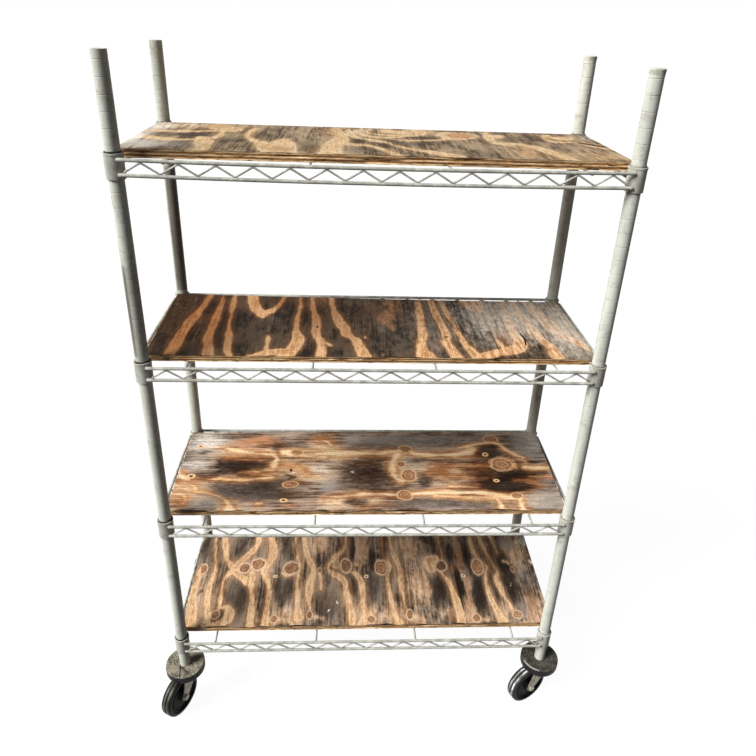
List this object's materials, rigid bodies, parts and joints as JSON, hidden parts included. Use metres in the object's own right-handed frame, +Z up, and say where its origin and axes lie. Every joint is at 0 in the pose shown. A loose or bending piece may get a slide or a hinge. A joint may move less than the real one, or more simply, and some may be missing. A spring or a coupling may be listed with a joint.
{
  "type": "rolling wire shelf",
  "caption": "Tall wire shelving unit on swivel casters, with grooved posts, truss-edged shelves and scorched plywood boards for storing and moving goods.",
  "frame": {"origin": "on the floor, midway between the four posts", "axes": "+Z up along the posts, +X along the shelves' length, +Y from the front to the back"},
  "size_m": [1.0022, 0.4875, 1.4888],
  "materials": {
    "post_finish": "worn silver-grey enamel with dark groove lines",
    "shelf_wire": "worn silver-grey enamel on welded wire",
    "cap_plastic": "dull grey moulded cap",
    "sleeve_plastic": "black moulded split sleeve",
    "scorched_plywood": "flame-scorched plywood, dark early wood and golden grain bands",
    "insert_steel": "plain steel bushing",
    "caster_steel": "dull zinc-plated pressing",
    "bumper_rubber": "black rubber with a dusty scuffed top",
    "bearing_steel": "polished balls",
    "fastener_steel": "zinc-plated",
    "bush_brass": "plain turned bush",
    "wheel_plastic": "black moulded wheel centre",
    "tyre_rubber": "black rubber, tread worn light grey"
  },
  "bodies": {
    "frame": {"shelf_top": "shelf_wire", "board_top": "scorched_plywood", "shelf_upper": "shelf_wire", "board_upper": "scorched_plywood", "shelf_lower": "shelf_wire", "board_lower": "scorched_plywood", "shelf_bottom": "shelf_wire", "board_bottom": "scorched_plywood", "post_front_left": "post_finish", "cap_front_left": "cap_plastic", "sleeves_front_left": "sleeve_plastic", "caster_stem_front_left": "caster_steel", "bumper_front_left": "bumper_rubber", "post_front_right": "post_finish", "cap_front_right": "cap_plastic", "sleeves_front_right": "sleeve_plastic", "caster_stem_front_right": "caster_steel", "bumper_front_right": "bumper_rubber", "post_rear_left": "post_finish", "cap_rear_left": "cap_plastic", "sleeves_rear_left": "sleeve_plastic", "caster_stem_rear_left": "caster_steel", "bumper_rear_left": "bumper_rubber", "post_rear_right": "post_finish", "cap_rear_right": "cap_plastic", "sleeves_rear_right": "sleeve_plastic", "caster_stem_rear_right": "caster_steel", "bumper_rear_right": "bumper_rubber", "post_inserts": "insert_steel"},
    "fork_body_front_left": {"fork_front_left": "caster_steel", "swivel_balls_front_left": "bearing_steel", "axle_bolt_front_left": "fastener_steel", "axle_nut_front_left": "fastener_steel", "axle_bush_front_left": "bush_brass"},
    "wheel_body_front_left": {"wheel_core_front_left": "wheel_plastic", "tyre_front_left": "tyre_rubber"},
    "fork_body_front_right": {"fork_front_right": "caster_steel", "swivel_balls_front_right": "bearing_steel", "axle_bolt_front_right": "fastener_steel", "axle_nut_front_right": "fastener_steel", "axle_bush_front_right": "bush_brass"},
    "wheel_body_front_right": {"wheel_core_front_right": "wheel_plastic", "tyre_front_right": "tyre_rubber"},
    "fork_body_rear_left": {"fork_rear_left": "caster_steel", "swivel_balls_rear_left": "bearing_steel", "axle_bolt_rear_left": "fastener_steel", "axle_nut_rear_left": "fastener_steel", "axle_bush_rear_left": "bush_brass"},
    "wheel_body_rear_left": {"wheel_core_rear_left": "wheel_plastic", "tyre_rear_left": "tyre_rubber"},
    "fork_body_rear_right": {"fork_rear_right": "caster_steel", "swivel_balls_rear_right": "bearing_steel", "axle_bolt_rear_right": "fastener_steel", "axle_nut_rear_right": "fastener_steel", "axle_bush_rear_right": "bush_brass"},
    "wheel_body_rear_right": {"wheel_core_rear_right": "wheel_plastic", "tyre_rear_right": "tyre_rubber"}
  },
  "joints": [
    {"name": "swivel_front_left", "type": "hinge", "parent": "frame", "child": "fork_body_front_left", "pos_m": [-0.4355, -0.166, 0.1072], "axis": [0, 0, 1], "continuous": true},
    {"name": "roll_front_left", "type": "hinge", "parent": "fork_body_front_left", "child": "wheel_body_front_left", "pos_m": [-0.45024, -0.19373, 0.0508], "axis": [0.8829, -0.4695, 0], "continuous": true},
    {"name": "swivel_front_right", "type": "hinge", "parent": "frame", "child": "fork_body_front_right", "pos_m": [0.4355, -0.166, 0.1072], "axis": [0, 0, 1], "continuous": true},
    {"name": "roll_front_right", "type": "hinge", "parent": "fork_body_front_right", "child": "wheel_body_front_right", "pos_m": [0.40752, -0.18025, 0.0508], "axis": [0.454, -0.891, 0], "continuous": true},
    {"name": "swivel_rear_left", "type": "hinge", "parent": "frame", "child": "fork_body_rear_left", "pos_m": [-0.4355, 0.166, 0.1072], "axis": [0, 0, 1], "continuous": true},
    {"name": "roll_rear_left", "type": "hinge", "parent": "fork_body_rear_left", "child": "wheel_body_rear_left", "pos_m": [-0.44877, 0.19446, 0.0508], "axis": [-0.9063, -0.4226, 0], "continuous": true},
    {"name": "swivel_rear_right", "type": "hinge", "parent": "frame", "child": "fork_body_rear_right", "pos_m": [0.4355, 0.166, 0.1072], "axis": [0, 0, 1], "continuous": true},
    {"name": "roll_rear_right", "type": "hinge", "parent": "fork_body_rear_right", "child": "wheel_body_rear_right", "pos_m": [0.46659, 0.17037, 0.0508], "axis": [-0.1392, 0.9903, 0], "continuous": true}
  ]
}
